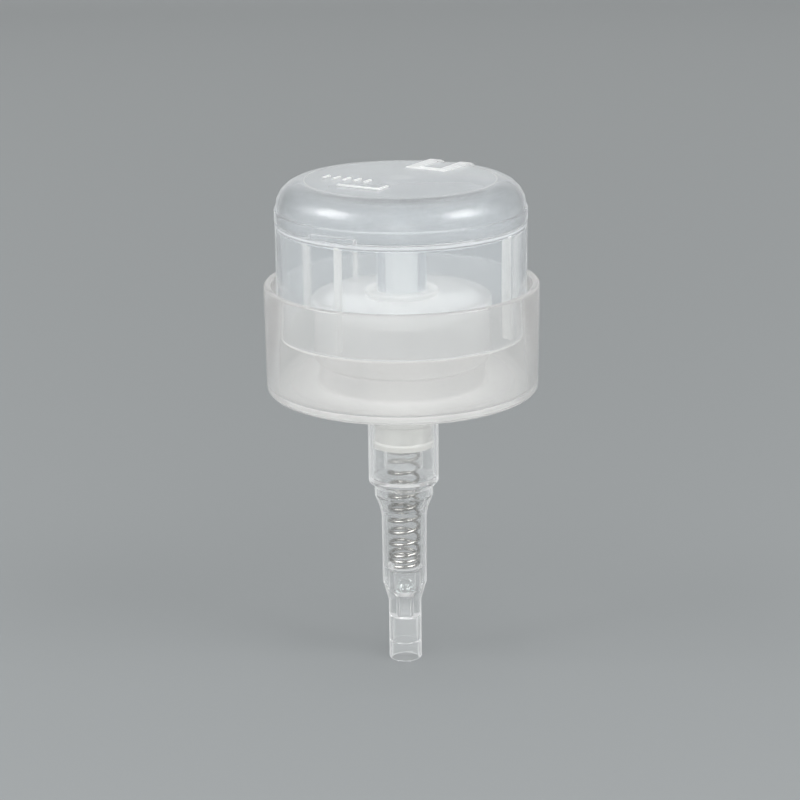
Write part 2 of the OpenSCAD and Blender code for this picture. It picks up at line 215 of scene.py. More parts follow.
# Moulded polyolefin: light passes through it, and fine crystals in it scatter a share of that light.
# The slant share makes that haze thicker where the eye looks along a wall, so edges look white.
# Thick sections scatter more than thin ones: the thick share is measured along one direction of the piece.
def mouldedPlastic(name, values):
    material = bpy.data.materials.new(name)
    material.use_nodes = True
    material.node_tree.nodes.clear()
    place = addNode(material, "ShaderNodeTexCoord")
    flow = addNode(material, "ShaderNodeTexNoise", {
        "Vector": place.outputs["Object"], "Scale": 1 / (values["flowWidth"] * mm),
        "Detail": 3.0, "Roughness": 0.5})
    skin = addNode(material, "ShaderNodeTexNoise", {
        "Vector": place.outputs["Object"], "Scale": 1 / (values["grainWidth"] * mm),
        "Detail": 2.0, "Roughness": 0.6})
    clear = addNode(material, "ShaderNodeMapRange", {
        "Value": flow.outputs["Fac"], "From Min": 0.3, "From Max": 0.7,
        "To Min": values["clear"] - values["clearSpread"],
        "To Max": values["clear"] + values["clearSpread"]})
    slant = addNode(material, "ShaderNodeLayerWeight", {"Blend": 0.5})
    edge = addNode(material, "ShaderNodeMapRange", {
        "Value": slant.outputs["Facing"], "From Min": values["slantFrom"], "From Max": 1.0,
        "To Min": 1.0, "To Max": 1.0 - values["slantHaze"]}, interpolation_type="SMOOTHSTEP")
    along = addNode(material, "ShaderNodeVectorMath", {
        0: place.outputs["Object"], 1: values["thickAlong"]}, operation="MULTIPLY")
    reach = addNode(material, "ShaderNodeVectorMath", {0: along.outputs["Vector"]}, operation="LENGTH")
    section = addNode(material, "ShaderNodeMapRange", {
        "Value": reach.outputs["Value"],
        "From Min": values["thickFrom"] * mm, "From Max": values["thickTo"] * mm,
        "To Min": values["nearClear"], "To Max": values["farClear"]})
    walls = addNode(material, "ShaderNodeMath", {
        0: clear.outputs["Result"], 1: edge.outputs["Result"]}, operation="MULTIPLY")
    through = addNode(material, "ShaderNodeMath", {
        0: walls.outputs["Value"], 1: section.outputs["Result"]}, operation="MULTIPLY")
    rough = addNode(material, "ShaderNodeMapRange", {
        "Value": skin.outputs["Fac"], "From Min": 0.3, "From Max": 0.7,
        "To Min": values["roughness"] * 0.8, "To Max": values["roughness"] * 1.2})
    relief = addNode(material, "ShaderNodeBump", {
        "Height": skin.outputs["Fac"], "Strength": values["grainStrength"],
        "Distance": values["grainDepth"] * mm})
    plastic = addNode(material, "ShaderNodeBsdfPrincipled", {
        "Base Color": toLinear(values["colour"]), "Transmission Weight": through.outputs["Value"],
        "Roughness": rough.outputs["Result"], "IOR": values["ior"], "Specular IOR Level": values["sheen"],
        "Normal": relief.outputs["Normal"]})
    # half of the scattered light goes on through the wall
    onward = addNode(material, "ShaderNodeBsdfTranslucent", {"Color": toLinear(values["colour"])})
    share = addNode(material, "ShaderNodeMapRange", {
        "Value": through.outputs["Value"], "From Min": 0.0, "From Max": 1.0, "To Min": 0.5, "To Max": 0.0})
    hazy = addNode(material, "ShaderNodeMixShader", {
        0: share.outputs["Result"], 1: plastic.outputs["BSDF"], 2: onward.outputs["BSDF"]})
    lampWay = addNode(material, "ShaderNodeBsdfTransparent", {"Color": toLinear(values["lampTint"])})
    ray = addNode(material, "ShaderNodeLightPath")
    both = addNode(material, "ShaderNodeMixShader", {
        0: ray.outputs["Is Shadow Ray"], 1: hazy.outputs["Shader"], 2: lampWay.outputs["BSDF"]})
    addNode(material, "ShaderNodeOutputMaterial", {"Surface": both.outputs["Shader"]})
    return material


# for a moulding whose sections are all as clear as each other
evenSections = {"thickAlong": (1, 1, 0), "thickFrom": 0.0, "thickTo": 1.0, "nearClear": 1.0, "farClear": 1.0}


# Random-copolymer polypropylene, injection moulded in a polished tool: nearly clear and glossy.
def clearPolypropylene():
    return mouldedPlastic("clearPolypropylene", {
        "colour": "#f7fafc", "clear": 0.925, "clearSpread": 0.01, "slantHaze": 0.5, "slantFrom": 0.7,
        "roughness": 0.08, "ior": 1.49, "sheen": 0.5, "lampTint": "#fefefe",
        "flowWidth": 9.0, "grainWidth": 0.9, "grainStrength": 0.04, "grainDepth": 0.02,
        "thickAlong": (1, 1, 0), "thickFrom": 4.6, "thickTo": 5.2, "nearClear": 0.97, "farClear": 1.0})


# The same resin in the lid, whose tool was left satin: soft highlights, and only shadows of what is inside.
def satinPolypropylene():
    return mouldedPlastic("satinPolypropylene", {
        "colour": "#f7fafc", "clear": 0.945, "clearSpread": 0.01, "slantHaze": 0.6, "slantFrom": 0.68,
        "roughness": 0.2, "ior": 1.49, "sheen": 0.25, "lampTint": "#fefefe",
        "flowWidth": 9.0, "grainWidth": 0.7, "grainStrength": 0.04, "grainDepth": 0.02,
        "thickAlong": (1, 1, 0), "thickFrom": 1.0, "thickTo": 2.4, "nearClear": 0.96, "farClear": 1.0})


# The same resin where the tool was spark eroded: the raised marks scatter light and look white.
def erodedPolypropylene():
    return mouldedPlastic("erodedPolypropylene", {
        "colour": "#fafbfb", "clear": 0.7, "clearSpread": 0.03, "slantHaze": 0.3, "slantFrom": 0.6,
        "roughness": 0.35, "ior": 1.49, "sheen": 0.3, "lampTint": "#fefefe",
        "flowWidth": 3.0, "grainWidth": 0.15, "grainStrength": 0.15, "grainDepth": 0.02, **evenSections})


# The same resin in the long pump barrel: sharp enough to count the coils inside, white along its edges.
def barrelPolypropylene():
    return mouldedPlastic("barrelPolypropylene", {
        "colour": "#fafbfb", "clear": 0.965, "clearSpread": 0.01, "slantHaze": 0.4, "slantFrom": 0.35,
        "roughness": 0.1, "ior": 1.49, "sheen": 0.5, "lampTint": "#fefefe",
        "flowWidth": 5.0, "grainWidth": 0.7, "grainStrength": 0.03, "grainDepth": 0.02, **evenSections})


# Natural homopolymer polypropylene, thicker and satin: cloudy, with what lies behind it still in outline.
def cloudyPolypropylene():
    return mouldedPlastic("cloudyPolypropylene", {
        "colour": "#f4f4f3", "clear": 0.86, "clearSpread": 0.015, "slantHaze": 0.25, "slantFrom": 0.75,
        "roughness": 0.05, "ior": 1.49, "sheen": 0.35, "lampTint": "#fbfbfb",
        "flowWidth": 12.0, "grainWidth": 0.6, "grainStrength": 0.04, "grainDepth": 0.02,
        "thickAlong": (1, 1, 0), "thickFrom": 14.4, "thickTo": 20.5, "nearClear": 0.8, "farClear": 1.0})


# The same resin in thick inner mouldings: milky, with soft edges.
def milkyPolypropylene():
    return mouldedPlastic("milkyPolypropylene", {
        "colour": "#f7f7f5", "clear": 0.66, "clearSpread": 0.03, "slantHaze": 0.4, "slantFrom": 0.6,
        "roughness": 0.1, "ior": 1.49, "sheen": 0.4, "lampTint": "#fefefe",
        "flowWidth": 6.0, "grainWidth": 0.5, "grainStrength": 0.03, "grainDepth": 0.02, **evenSections})


# Soft low-density polyethylene of the piston: waxy white.
def softPolyethylene():
    return mouldedPlastic("softPolyethylene", {
        "colour": "#f6f6f3", "clear": 0.72, "clearSpread": 0.03, "slantHaze": 0.3, "slantFrom": 0.6,
        "roughness": 0.2, "ior": 1.51, "sheen": 0.4, "lampTint": "#fdfdfd",
        "flowWidth": 4.0, "grainWidth": 0.4, "grainStrength": 0.04, "grainDepth": 0.02, **evenSections})


# Foamed polyethylene sheet of the gasket: opaque white with fine cells.
def foamedPolyethylene():
    cellWidth = 0.25
    material = bpy.data.materials.new("foamedPolyethylene")
    material.use_nodes = True
    material.node_tree.nodes.clear()
    place = addNode(material, "ShaderNodeTexCoord")
    cells = addNode(material, "ShaderNodeTexVoronoi", {
        "Vector": place.outputs["Object"], "Scale": 1 / (cellWidth * mm)})
    relief = addNode(material, "ShaderNodeBump", {
        "Height": cells.outputs["Distance"], "Strength": 0.4, "Distance": 0.05 * mm})
    foam = addNode(material, "ShaderNodeBsdfPrincipled", {
        "Base Color": toLinear("#eeeeea"), "Roughness": 0.75, "IOR": 1.5,
        "Normal": relief.outputs["Normal"]})
    addNode(material, "ShaderNodeOutputMaterial", {"Surface": foam.outputs["BSDF"]})
    return material


# Drawn stainless wire: bright, with fine lines along the wire that smear each highlight.
def drawnStainlessWire():
    drawLine = 0.12
    material = bpy.data.materials.new("drawnStainlessWire")
    material.use_nodes = True
    material.node_tree.nodes.clear()
    place = addNode(material, "ShaderNodeTexCoord")
    lines = addNode(material, "ShaderNodeTexNoise", {
        "Vector": place.outputs["Object"], "Scale": 1 / (drawLine * mm), "Detail": 2.0})
    rough = addNode(material, "ShaderNodeMapRange", {
        "Value": lines.outputs["Fac"], "From Min": 0.3, "From Max": 0.7, "To Min": 0.12, "To Max": 0.22})
    steel = addNode(material, "ShaderNodeBsdfPrincipled", {
        "Base Color": toLinear("#adaba7"), "Metallic": 1.0, "Roughness": rough.outputs["Result"]})
    addNode(material, "ShaderNodeOutputMaterial", {"Surface": steel.outputs["BSDF"]})
    return material


# Ground glass valve ball: clear, with the faintest haze of its grinding.
def groundGlass():
    grindGrain = 0.3
    material = bpy.data.materials.new("groundGlass")
    material.use_nodes = True
    material.node_tree.nodes.clear()
    place = addNode(material, "ShaderNodeTexCoord")
    haze = addNode(material, "ShaderNodeTexNoise", {
        "Vector": place.outputs["Object"], "Scale": 1 / (grindGrain * mm)})
    rough = addNode(material, "ShaderNodeMapRange", {
        "Value": haze.outputs["Fac"], "From Min": 0.3, "From Max": 0.7, "To Min": 0.04, "To Max": 0.08})
    glass = addNode(material, "ShaderNodeBsdfPrincipled", {
        "Base Color": toLinear("#f1f5f4"), "Transmission Weight": 0.92,
        "Roughness": rough.outputs["Result"], "IOR": 1.52})
    addNode(material, "ShaderNodeOutputMaterial", {"Surface": glass.outputs["BSDF"]})
    return material


clearPp = clearPolypropylene()
satinPp = satinPolypropylene()
erodedPp = erodedPolypropylene()
barrelPp = barrelPolypropylene()
cloudyPp = cloudyPolypropylene()
milkyPp = milkyPolypropylene()
softPe = softPolyethylene()
foamPe = foamedPolyethylene()
springSteel = drawnStainlessWire()
ballGlass = groundGlass()
print("stage: materials made")


# ends of the CAD pieces in mm, which the detailed pieces take their places from
def nodeEnds(node):
    low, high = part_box(node)
    return low / mm, high / mm


capLow, capHigh = nodeEnds("screw_cap")
housingLow, housingHigh = nodeEnds("housing")
plugLow, plugHigh = nodeEnds("throat_plug")
cupLow, cupHigh = nodeEnds("spring_cup")
pistonLow, pistonHigh = nodeEnds("piston")
springLow, springHigh = nodeEnds("return_spring")
stemLow, stemHigh = nodeEnds("stem")
gasketLow, gasketHigh = nodeEnds("neck_gasket")
lidLow, lidHigh = nodeEnds("lid")
hinge = [j for j in frame["joints"] if j["name"] == "lid_hinge"][0]
hingeY = hinge["pos_m"][1] / mm
hingeZ = hinge["pos_m"][2] / mm

# sizes are in mm, and a depth is measured down from z = 0
lidValues = {
    "radius": 19.8, "height": 6.2, "flangeRadius": 20.05, "flangeHeight": 1.9, "wall": 1.0, "shoulder": 4.5,
    "crown": 0.3, "raised": 0.35, "creaseLine": 0.2, "creaseHeight": 0.08, "gap": 0.12,
    "strapWidth": 1.5, "strapX": 2.8, "strapY": 7.5, "pinRadius": 0.85, "pinBase": 2.2,
    "liftWidth": 8.0, "liftFront": 20.78, "liftBack": 19.2, "liftHeight": 0.9,
    "knuckleRadius": 1.15, "knuckleWidth": 6.2, "trunnionRadius": 0.7, "lugWidth": 1.6, "clearance": 0.15,
}
markValues = {
    "line": 0.5, "dashX": -10.6, "dashY": -6.4, "dashLength": 2.0, "dashStep": 1.9, "dashCount": 5,
    "angleX": -5.4, "angleY": -10.3, "angleWidth": 7.7, "angleLength": 3.0,
}
seamZ = hingeZ - lidValues["knuckleRadius"] - 0.05
rimZ = seamZ - lidValues["gap"]
proud = 0.02    # air left between a surface and the solid that is laid on it


# height of the lid's crowned top over its crease, at a distance from the axis
def crownRise(r, creaseRadius):
    return lidValues["crown"] * (1 - (r / creaseRadius) ** 2)


def buildLid():
    v = lidValues
    crease = v["radius"] - v["shoulder"]
    top = seamZ + v["height"]
    under = top - v["wall"]
    inner = v["radius"] - v["wall"]
    topRadii = [crease * s / 8 for s in range(7, -1, -1)]
    underRadii = [crease * s / 4 for s in range(4)]
    shell = toObject(turned(
        [(v["flangeRadius"], seamZ, 0.18), (v["flangeRadius"], seamZ + v["flangeHeight"], 0.3),
         (v["radius"], seamZ + v["flangeHeight"] + 0.05, 0.1), (v["radius"], top, v["shoulder"] - 0.1),
         (crease, top, 0)]
        + [(r, top + crownRise(r, crease), 0) for r in topRadii[1:]]
        + [(r, under + crownRise(r, crease), 0) for r in underRadii]
        + [(crease, under, 0.1), (inner, under, v["shoulder"] - v["wall"]), (inner, seamZ, 0.1)]
    ), "lidShell")
    notchX = v["knuckleWidth"] / 2 + v["clearance"] + v["lugWidth"] + 0.25
    swing = v["knuckleRadius"] + 0.5
    combine(shell, [
        bar(swing, -notchX, notchX, hingeY, hingeZ),
        block((-notchX, hingeY - swing, seamZ - 1), (notchX, hingeY + swing + 1, hingeZ), 0),
    ], "DIFFERENCE")
    # straps over the back shoulder, swept along the shell's own outline and a hair clear of it
    straps = [strap(x, crease, top) for x in (-v["strapX"], v["strapX"])]
    lipX = v["strapX"] + v["strapWidth"] / 2
    lipLow = top + crownRise(v["strapY"], crease) + proud
    lipTop = top + v["raised"] + proud
    lip = block((-lipX, v["strapY"], lipLow), (lipX, v["strapY"] + v["strapWidth"], lipTop), 0.05)
    knuckle = bar(v["knuckleRadius"], -v["knuckleWidth"] / 2, v["knuckleWidth"] / 2, hingeY, hingeZ)
    trunnionEnd = v["knuckleWidth"] / 2 + v["clearance"] + v["lugWidth"] - 0.1
    trunnions = bar(v["trunnionRadius"], -trunnionEnd, trunnionEnd, hingeY, hingeZ)
    web = block((-v["knuckleWidth"] / 2, hingeY - swing - 0.1, hingeZ),
                (v["knuckleWidth"] / 2, hingeY - 0.1, hingeZ + swing + 0.2), 0.1)
    pin = turned([
        (0, under + 0.2, 0), (v["pinBase"], under + 0.2, 0.2), (v["pinBase"], under - 0.5, 0.15),
        (v["pinRadius"], under - 0.5, 0.2), (v["pinRadius"], lidLow.z, 0.15), (0, lidLow.z, 0)], 48)
    lift = block((-v["liftWidth"] / 2, -v["liftFront"], seamZ),
                 (v["liftWidth"] / 2, -v["liftBack"], seamZ + v["liftHeight"]), 0.2)
    combine(shell, [knuckle, trunnions, web, pin, lift], "UNION")
    finishPiece(shell, satinPp, "lid", "lid")
    raised = toObject(lip, "lidRaised")
    combine(raised, straps, "UNION")
    beadLow = top + proud
    beadTop = beadLow + v["creaseHeight"]
    bead = turned([
        (crease - v["creaseLine"], beadLow, 0), (crease, beadLow, 0),
        (crease, beadTop, 0.03), (crease - v["creaseLine"], beadTop, 0.03)])
    finishPiece(toObject(bead, "lidCrease"), barrelPp, "lid", "lid")
    joinSolids(raised, lidMarks(top, crease))
    return finishPiece(raised, erodedPp, "lid", "lid")


# one raised strap, from the lip over the shoulder down to the flange
def strap(x, crease, top):
    v = lidValues
    shoulder = v["shoulder"]
    stepAngle = 8
    angles = [math.radians(step * stepAngle) for step in range(11)]
    path = [(v["strapY"] + 1, top)] + [
        (crease + shoulder * math.sin(a), top - shoulder + shoulder * math.cos(a)) for a in angles]
    bm = bmesh.new()
    rows = []
    for i, (y, z) in enumerate(path):
        angle = angles[max(i - 1, 0)]
        out = Vector((0, math.sin(angle), math.cos(angle)))
        # the shell curves away to each side, so the strap's middle is pulled in to its own X
        pull = math.sqrt(max(y * y - x * x, 0)) if i else y
        base = Vector((x, pull, z))
        half = Vector((v["strapWidth"] / 2, 0, 0))
        rows.append([
            bm.verts.new((base + out * rise + half * side) * mm)
            for side, rise in ((-1, proud), (1, proud), (1, v["raised"]), (-1, v["raised"]))])
    return closeRun(bm, rows)


# a row of plain dashes and a plain angle, moulded proud of the lid's top
def lidMarks(top, crease):
    v = markValues
    low = top + crownRise(-v["dashY"], crease) + proud
    high = lidHigh.z
    marks = [
        block((x, v["dashY"], low), (x + v["line"], v["dashY"] + v["dashLength"], high), 0.07)
        for x in (v["dashX"] + i * v["dashStep"] for i in range(v["dashCount"]))
    ]
    endX = v["angleX"] + v["angleWidth"]
    marks.append(block((v["angleX"], v["angleY"], low), (endX, v["angleY"] + v["line"], high), 0.07))
    marks.append(block(
        (endX - v["line"], v["angleY"], low), (endX, v["angleY"] + v["angleLength"], high - proud), 0.07))
    return marks


headValues = {
    "footRing": 0.35, "skirtRadius": 20.0, "skirtWall": 1.0, "skirtHeight": 18.2, "plate": 0.9,
    "bowlDepth": 0.7, "bowlRadius": 18.2, "wellRadius": 4.5, "postRadius": 3.95, "stemRadius": 2.63,
    "outletRadius": 1.0, "postGap": 2.6, "ribStart": 17.9, "ribWidth": 0.8, "ribRise": 0.8,
    "thinRibWidth": 0.5, "thinRibRise": 1.4, "thinRibTurn": 56, "lugRim": 0.2, "lugDepth": 3.0,
}


def buildHead():
    v = headValues
    inner = v["skirtRadius"] - v["skirtWall"]
    foot = rimZ - v["skirtHeight"]
    ringTop = foot + v["footRing"]
    under = rimZ - v["plate"]
    well = rimZ - v["bowlDepth"]
    bowlUnder = under - v["bowlDepth"]
    postFoot = capHigh.z - v["postGap"]
    shell = toObject(turned([
        (inner, ringTop + proud, 0), (v["skirtRadius"], ringTop + proud, 0), (v["skirtRadius"], rimZ, 0.25),
        (v["bowlRadius"], rimZ, 0.3), (v["wellRadius"], well, 1.0), (v["outletRadius"], well, 0.15),
        (v["outletRadius"], bowlUnder - 0.3, 0), (v["stemRadius"], bowlUnder - 0.3, 0.1),
        (v["stemRadius"], postFoot, 0.15), (v["postRadius"], postFoot, 0.15),
        (v["postRadius"], bowlUnder, 0.7), (v["wellRadius"], bowlUnder, 0.5),
        (v["bowlRadius"], under, 0.4), (inner, under, 0.5),
    ]), "headShell")
    # width, soft edge, rise over the foot and turn of each rib
    ribRows = [(v["ribWidth"], 0.08, v["ribRise"], quarter * 90) for quarter in (1, 2, 3)]
    ribRows += [(v["thinRibWidth"], 0.06, v["thinRibRise"], side * v["thinRibTurn"]) for side in (1, -1)]
    ribs = [
        block((-width / 2, v["ribStart"], foot + rise), (width / 2, inner - proud, under - proud),
              edge, math.radians(turn))
        for width, edge, rise, turn in ribRows
    ]
    footRing = turned([
        (inner, foot, 0.1), (v["skirtRadius"], foot, 0.15), (v["skirtRadius"], ringTop, 0),
        (inner, ringTop, 0)])
    edges = joinSolids(toObject(footRing, "headEdges"), ribs)
    finishPiece(edges, milkyPp, "head", "head")
    lugs = []
    lugX = lidValues["knuckleWidth"] / 2 + lidValues["clearance"]
    lugRadius = lidValues["knuckleRadius"] + v["lugRim"]
    for side in (-1, 1):
        fromX = lugX if side > 0 else -lugX - lidValues["lugWidth"]
        toX = fromX + lidValues["lugWidth"]
        lugs.append(bar(lugRadius, fromX, toX, hingeY, hingeZ))
        lugs.append(block(
            (fromX, hingeY - lugRadius, rimZ - v["lugDepth"]), (toX, hingeY + lugRadius, hingeZ), 0))
    combine(shell, lugs, "UNION")
    eyeX = lugX + 2 * lidValues["lugWidth"]
    combine(shell, [bar(lidValues["trunnionRadius"] + 0.06, -eyeX, eyeX, hingeY, hingeZ)], "DIFFERENCE")
    return finishPiece(shell, clearPp, "head", "head")


capValues = {
    "wall": 1.2, "draft": 0.13, "throat": 5.25, "root": 12.3, "crest": 11.3, "deck": 3.8,
    "deckThickness": 1.4, "deckRadius": 14.4, "innerRadius": 13.5, "stepDepth": 6.6,
    "threadTop": -1.6, "threadRise": 2.4, "threadPitch": 3.175, "threadFoot": 1.5, "threadFlat": 0.6,
}


def buildCap():
    v = capValues
    rim = capHigh.x
    foot = capLow.z
    floorTop = foot + v["wall"]
    step = v["deckRadius"] - v["innerRadius"]
    shell = toObject(turned([
        (v["throat"], v["deck"], 0.15), (v["throat"], v["deck"] - v["deckThickness"], 0.1),
        (v["root"], v["deck"] - v["deckThickness"], 0.2), (v["root"], foot, 0.3),
        (rim - v["draft"], foot, 0.95), (rim, capHigh.z, 0.35), (rim - v["wall"], capHigh.z, 0.35),
        (rim - v["wall"] - 0.05, floorTop, 0.6), (v["innerRadius"], floorTop, 0.6),
        (v["innerRadius"], -v["stepDepth"] - step / 2, 0.3), (v["deckRadius"], -v["stepDepth"], 0.3),
        (v["deckRadius"], v["deck"], 0.45),
    ]), "capShell")
    # thread ridge on the inner wall, sunk a little into it
    stepsPerTurn = 48
    low = foot + v["threadRise"]
    turns = (v["threadTop"] - low) / v["threadPitch"]
    sunk = v["root"] + 0.1
    halfFoot = v["threadFoot"] / 2
    halfFlat = v["threadFlat"] / 2
    bm = bmesh.new()
    rows = []
    count = int(turns * stepsPerTurn)
    for i in range(count + 1):
        angle = 2 * math.pi * i / stepsPerTurn
        fade = 0.1 + 0.9 * min(1, i / 8, (count - i) / 8)
        crest = v["root"] - (v["root"] - v["crest"]) * fade
        z = low + v["threadPitch"] * i / stepsPerTurn
        section = [(sunk, z - halfFoot), (crest, z - halfFlat), (crest, z + halfFlat), (sunk, z + halfFoot)]
        rows.append([
            bm.verts.new((r * mm * math.cos(angle), r * mm * math.sin(angle), h * mm)) for r, h in section])
    combine(shell, [closeRun(bm, rows)], "UNION")
    return finishPiece(shell, cloudyPp, "closure", "screw_cap")


plugValues = {"ring": 5.9, "bore": 5.07, "guide": 4.1, "rod": 3.35, "ringHeight": 0.9, "guideDepth": 2.8}


def buildPlug():
    v = plugValues
    ringFoot = plugHigh.z - v["ringHeight"]
    sleeve = toObject(turned([
        (v["guide"], plugHigh.z, 0.15), (v["guide"], -v["guideDepth"], 0.1),
        (v["rod"], -v["guideDepth"], 0.1), (v["rod"], plugLow.z, 0.2), (v["bore"], plugLow.z, 0.3),
        (v["bore"], ringFoot, 0), (v["ring"], ringFoot, 0.1), (v["ring"], plugHigh.z, 0.3),
    ], 120), "plugSleeve")
    return finishPiece(sleeve, milkyPp, "pump_body", "throat_plug")


housingValues = {
    "flange": 12.1, "barrel": 5.75, "bore": 5.1, "barrelDepth": 27.5, "chamfer": 0.95, "step": 4.78,
    "stepDepth": 30.0, "stepBore": 4.13, "tube": 3.72, "tubeBore": 3.02, "coneDepth": 33.0, "tubeRun": 2.9,
    "ballLip": 1.3, "lipThickness": 0.7, "cage": 1.75, "cageDepth": 4.0, "inlet": 0.95, "inletDepth": 5.0,
    "socketStop": 51.3, "socketLength": 4.3, "socket": 2.0, "lead": 2.2, "stub": 2.71, "stubDepth": 6.1,
    "vent": 0.45, "ventDepth": 19.3, "ventTurns": (75, 165),
}


def buildHousing():
    v = housingValues
    seat = springLow.z - proud
    end = housingLow.z
    lead = -v["socketStop"] - v["socketLength"]
    tubeFoot = seat - v["tubeRun"]
    # down the bore, round the foot and up the outside to the flange
    shell = toObject(turned([
        (v["bore"], housingHigh.z, 0.2), (v["bore"], -v["barrelDepth"] + 0.9, 0.3),
        (v["stepBore"], -v["barrelDepth"], 0.3), (v["stepBore"], -v["stepDepth"] + 0.2, 0.5),
        (v["tubeBore"], -v["coneDepth"] + 0.6, 0.8), (v["tubeBore"], seat, 0.1),
        (v["ballLip"], seat, 0.1), (v["ballLip"], seat - v["lipThickness"], 0.1),
        (v["cage"], seat - v["lipThickness"], 0.2), (v["cage"], seat - v["cageDepth"], 0.2),
        (v["inlet"], seat - v["inletDepth"], 0.2), (v["inlet"], -v["socketStop"], 0.1),
        (v["socket"], -v["socketStop"], 0.15), (v["socket"], lead, 0.05), (v["lead"], lead - 0.15, 0.05),
        (v["lead"], end, 0.15), (v["stub"], end, 0.25), (v["stub"], seat - v["stubDepth"], 0.6),
        (v["tube"] - 0.24, tubeFoot - 0.38, 0.8), (v["tube"] - 0.06, tubeFoot, 0.5),
        (v["tube"], -v["coneDepth"] - 1, 1.5), (v["tube"] + 0.08, -v["coneDepth"], 0.8),
        (v["tube"] + 0.35, -v["coneDepth"] + 1.1, 0.8), (v["step"], -v["stepDepth"], 0.5),
        (v["step"], -v["barrelDepth"] - v["chamfer"], 0.3), (v["barrel"], -v["barrelDepth"], 0.3),
        (v["barrel"], gasketHigh.z, 0.15), (v["flange"], gasketHigh.z, 0.2),
        (v["flange"], housingHigh.z, 0.2),
    ], 128), "housingShell")
    vents = []
    for angle in v["ventTurns"]:
        vent = bar(v["vent"], v["bore"] - 0.5, v["bore"] + 1.5, 0, -v["ventDepth"], 24)
        bmesh.ops.rotate(vent, matrix=Matrix.Rotation(math.radians(angle), 3, "Z"), verts=vent.verts)
        vents.append(vent)
    combine(shell, vents, "DIFFERENCE")
    return finishPiece(shell, barrelPp, "pump_body", "housing")


rodValues = {
    "cup": 3.2, "springRoom": 2.8, "flange": 4.2, "flangeHeight": 0.9, "ridge": 3.55, "ridgeRise": 0.6,
    "socket": 2.66, "passage": 0.8, "roomTopDepth": 16.2, "seatDepth": 15.0, "waist": 1.45,
}


def buildRod():
    v = rodValues
    pistonTop = pistonHigh.z
    springTop = springHigh.z
    flangeTop = pistonTop + v["flangeHeight"]
    rod = toObject(turned([
        (v["socket"], cupHigh.z, 0.15), (v["socket"], -v["seatDepth"], 0.1),
        (v["passage"], -v["seatDepth"], 0.2), (v["passage"], -v["roomTopDepth"], 0.1),
        (v["waist"], -v["roomTopDepth"], 0.2), (v["waist"], springTop, 0.1),
        (v["springRoom"], springTop, 0.1), (v["springRoom"], cupLow.z, 0.1), (v["cup"], cupLow.z, 0.12),
        (v["cup"], pistonLow.z - v["ridgeRise"], 0.1), (v["ridge"], pistonLow.z, 0.05),
        (v["cup"], pistonLow.z + proud, 0), (v["cup"], pistonTop, 0), (v["flange"], pistonTop, 0.1),
        (v["flange"], flangeTop, 0.15), (v["cup"], flangeTop, 0.15), (v["cup"], cupHigh.z, 0.2),
    ], 96), "springRod")
    return finishPiece(rod, barrelPp, "plunger", "spring_cup")


pistonValues = {"hub": 0.7, "grooveWidth": 0.55, "grooveDepth": 0.8, "lipHeight": 0.9, "relief": 0.35}


# a hub on the rod, a groove in its underside, and a sealing lip at each end
def buildPiston():
    v = pistonValues
    bore = pistonHigh.x
    waist = bore - v["relief"]
    inner = rodValues["cup"] + 0.01
    hub = inner + v["hub"]
    grooveEnd = hub + 0.05 + v["grooveWidth"]
    low = pistonLow.z
    high = pistonHigh.z
    seal = toObject(turned([
        (inner, low, 0.05), (hub, low, 0.1), (hub + 0.05, low + v["grooveDepth"], 0.2),
        (grooveEnd, low + v["grooveDepth"], 0.2), (grooveEnd + 0.1, low, 0.1), (bore, low, 0.12),
        (bore, low + v["lipHeight"], 0.2), (waist, low + v["lipHeight"] + 0.2, 0.15),
        (waist, high - v["lipHeight"] - 0.2, 0.15), (bore, high - v["lipHeight"], 0.2),
        (bore, high, 0.12), (inner, high, 0.05),
    ], 120), "pistonSeal")
    return finishPiece(seal, softPe, "plunger", "piston")


stemValues = {"room": 1.45, "bore": 0.85, "ledgeTop": -10.8, "ledgeFoot": -11.8}


def buildStem():
    v = stemValues
    outer = stemHigh.x
    tube = toObject(turned([
        (v["room"], stemHigh.z, 0.15), (v["room"], v["ledgeTop"], 0.2), (v["bore"], v["ledgeTop"], 0.15),
        (v["bore"], v["ledgeFoot"], 0.15), (v["room"], v["ledgeFoot"], 0.2),
        (v["room"], stemLow.z, 0.1), (outer, stemLow.z, 0.2), (outer, stemHigh.z, 0.2),
    ], 96), "stemTube")
    return finishPiece(tube, milkyPp, "head", "stem")


def buildGasket():
    inner = housingValues["barrel"] + 0.01
    outer = gasketHigh.x
    ring = toObject(turned([
        (inner, gasketLow.z, 0.1), (outer, gasketLow.z, 0.2),
        (outer, gasketHigh.z, 0.2), (inner, gasketHigh.z, 0.1),
    ], 120), "gasketRing")
    return finishPiece(ring, foamPe, "pump_body", "neck_gasket")


springValues = {
    "wire": 0.3, "pitch": 2.06, "footRise": 0.9, "footTurns": 2, "topRise": 0.63, "phase": -95,
    "stroke": 5.0, "sides": 14, "steps": 40,
}


